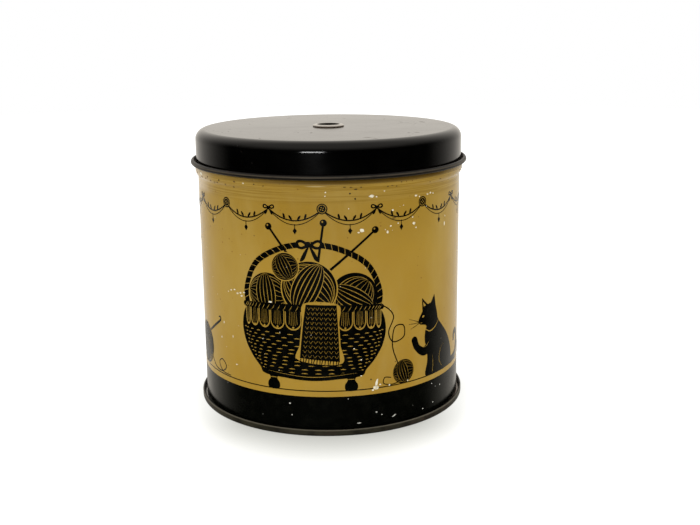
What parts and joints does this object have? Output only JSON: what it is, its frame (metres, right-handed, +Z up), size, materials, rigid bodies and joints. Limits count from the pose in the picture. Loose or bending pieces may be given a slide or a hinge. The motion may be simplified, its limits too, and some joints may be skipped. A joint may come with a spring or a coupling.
{
  "type": "slip-lid tin",
  "caption": "Round printed tin with a double-seamed base, a slip-on lid resting on a bead, and an eyelet in the lid that a strand of yarn feeds through.",
  "frame": {"origin": "on the tin's axis, in the plane it stands on", "axes": "+Z up along the tin's axis, towards the lid; the locked side seam is at +Y, the back of the pictured view"},
  "size_m": [0.13, 0.13, 0.1308],
  "materials": {
    "ochre_enamel": "semi-gloss ochre enamel on tinplate, worn and chipped",
    "bare_tinplate": "darkened bare tinplate, rusty in its grooves",
    "black_lacquer": "gloss black lacquer with fine scratches",
    "eyelet_lacquer": "black lacquer rubbed thin by the yarn"
  },
  "bodies": {
    "can": {"can_wall": "ochre_enamel", "base": "bare_tinplate"},
    "lid": {"lid": "black_lacquer", "eyelet": "eyelet_lacquer"}
  },
  "joints": [
    {"name": "lid_lift", "type": "slide", "parent": "can", "child": "lid", "axis": [0, 0, 1], "range_m": [0, 0.15]}
  ]
}
